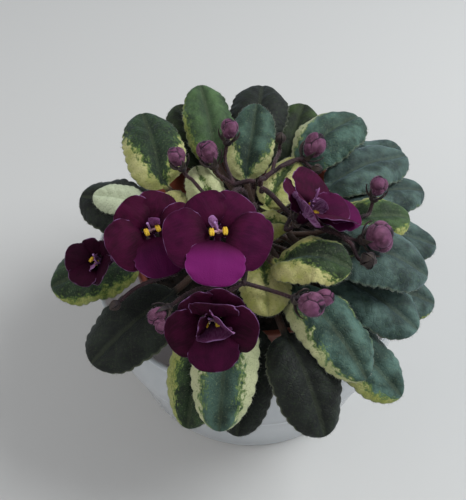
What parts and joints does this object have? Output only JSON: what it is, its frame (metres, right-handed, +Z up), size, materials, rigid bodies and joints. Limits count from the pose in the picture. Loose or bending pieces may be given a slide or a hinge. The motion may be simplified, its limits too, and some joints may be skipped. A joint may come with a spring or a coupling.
{
  "type": "potted african violet",
  "caption": "Small variegated african violet in bloom: a rosette of velvety leaves with purple flowers, in a plastic pot standing in a clear cup.",
  "frame": {"origin": "middle of the flat underside of the cup, on the axis of the cup and pot", "axes": "+Z up along the pot's axis; -Y towards the side from which the picture looks down on the plant; +X to the right of that view"},
  "size_m": [0.1344, 0.1427, 0.1152],
  "materials": {
    "clear_cup": "clear, slightly milky injection-moulded plastic, glossy",
    "terracotta_plastic": "satin terracotta-coloured nursery pot plastic",
    "peat_soil": "damp near-black peat mix with fine crumbs",
    "crown_stem": "rough brown-green stem with leaf scars",
    "leaf_variegated": "velvety leaf, dark green centre with cream and yellow-green margins",
    "leaf_dark": "velvety very dark green leaf with a thin light margin",
    "leaf_blue_green": "velvety blue-green leaf with a soft sheen",
    "leaf_green": "velvety light green mottled leaf",
    "leaf_cream": "velvety cream leaf with a green midrib stripe",
    "flower_stalk": "hairy purple-brown stalk",
    "petal": "deep magenta-purple velvet petal with a thin pale edge",
    "anther": "powdery yellow anther",
    "bud": "dusty mauve-pink closed petals"
  },
  "bodies": {
    "root": {"cup": "clear_cup", "pot": "terracotta_plastic", "soil": "peat_soil", "leaf_01": "leaf_variegated", "leaf_02": "leaf_dark", "leaf_03": "leaf_variegated", "leaf_04": "leaf_variegated", "leaf_05": "leaf_blue_green", "leaf_06": "leaf_blue_green", "leaf_07": "leaf_blue_green", "leaf_08": "leaf_dark", "leaf_09": "leaf_dark", "leaf_10": "leaf_dark", "leaf_11": "leaf_dark", "leaf_12": "leaf_dark", "leaf_13": "leaf_dark", "leaf_14": "leaf_blue_green", "leaf_15": "leaf_cream", "leaf_16": "leaf_blue_green", "leaf_17": "leaf_blue_green", "leaf_18": "leaf_variegated", "leaf_19": "leaf_green", "leaf_20": "leaf_green", "leaf_21": "leaf_variegated", "leaf_22": "leaf_blue_green", "leaf_23": "leaf_variegated", "leaf_24": "leaf_variegated", "leaf_25": "leaf_cream", "leaf_26": "leaf_variegated", "leaf_27": "leaf_dark", "leaf_28": "leaf_cream", "leaf_29": "leaf_variegated", "leaf_30": "leaf_cream", "leaf_31": "leaf_cream", "leaf_32": "leaf_cream", "crown": "crown_stem", "stalk_1": "flower_stalk", "stalk_2": "flower_stalk", "stalk_3": "flower_stalk", "stalk_4": "flower_stalk", "stalk_5": "flower_stalk", "stalk_6": "flower_stalk", "bloom_1": "petal", "anthers_1": "anther", "bloom_2": "petal", "anthers_2": "anther", "bloom_3": "petal", "anthers_3": "anther", "bloom_4": "petal", "anthers_4": "anther", "bloom_5": "petal", "anthers_5": "anther", "bud_1": "bud", "bud_2": "bud", "bud_3": "bud", "bud_4": "bud", "bud_5": "bud", "bud_6": "bud", "bud_7": "bud", "bud_8": "bud"}
  },
  "joints": []
}
